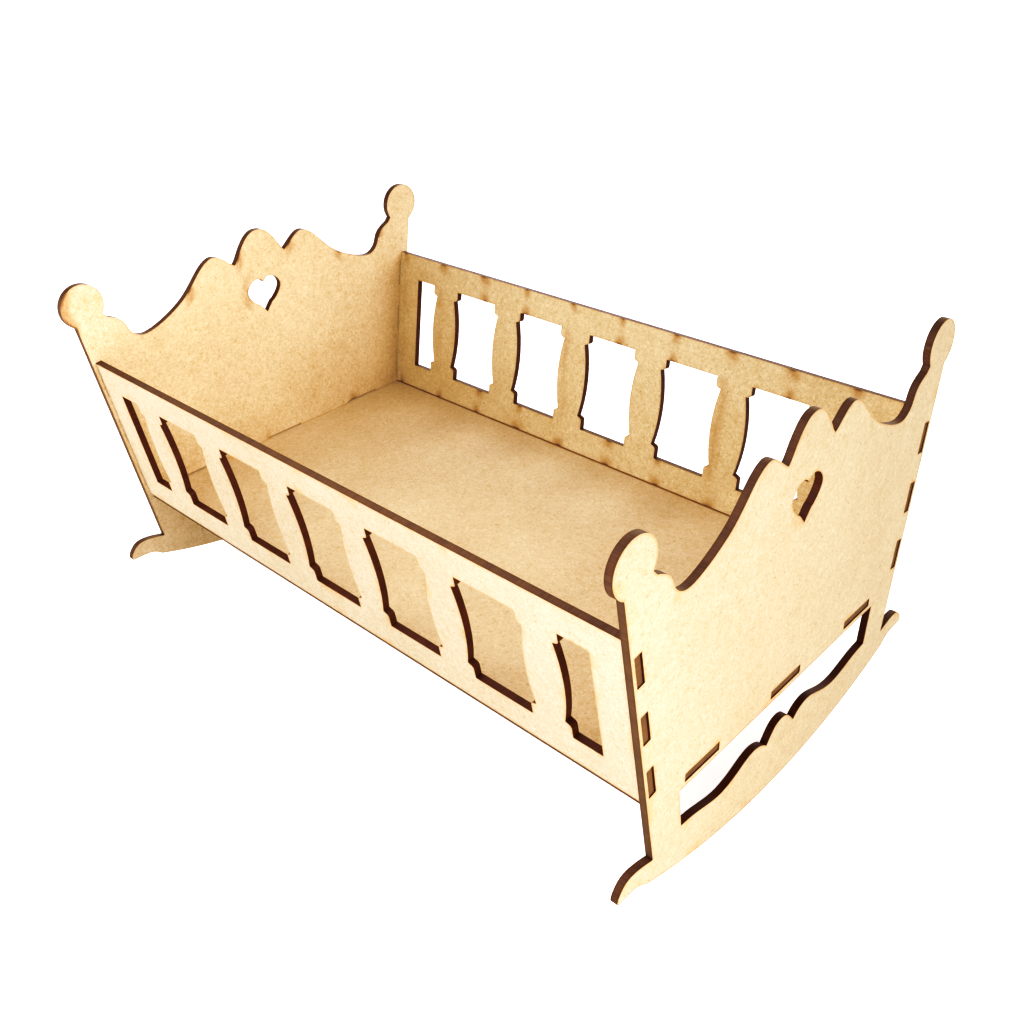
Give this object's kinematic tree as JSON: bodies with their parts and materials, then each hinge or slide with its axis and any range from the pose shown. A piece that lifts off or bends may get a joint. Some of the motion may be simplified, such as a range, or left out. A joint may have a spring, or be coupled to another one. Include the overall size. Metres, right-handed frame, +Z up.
{
  "type": "doll cradle",
  "caption": "Slatted rocking cradle for a doll: scalloped end panels with ball knobs, hearts and curved rockers, leaning sides and a flat floor, tabbed together.",
  "frame": {"origin": "middle of the cradle, on the level that the two rockers stand on", "axes": "+X from the head end to the foot end, +Y across to the back side panel, +Z up"},
  "size_m": [0.3092, 0.2112, 0.1629],
  "materials": {
    "fibreboard": "bare sanded fibreboard with dark laser-burnt cut edges"
  },
  "bodies": {
    "root": {"head_panel": "fibreboard", "foot_panel": "fibreboard", "front_side_panel": "fibreboard", "back_side_panel": "fibreboard", "floor_panel": "fibreboard"}
  },
  "joints": []
}
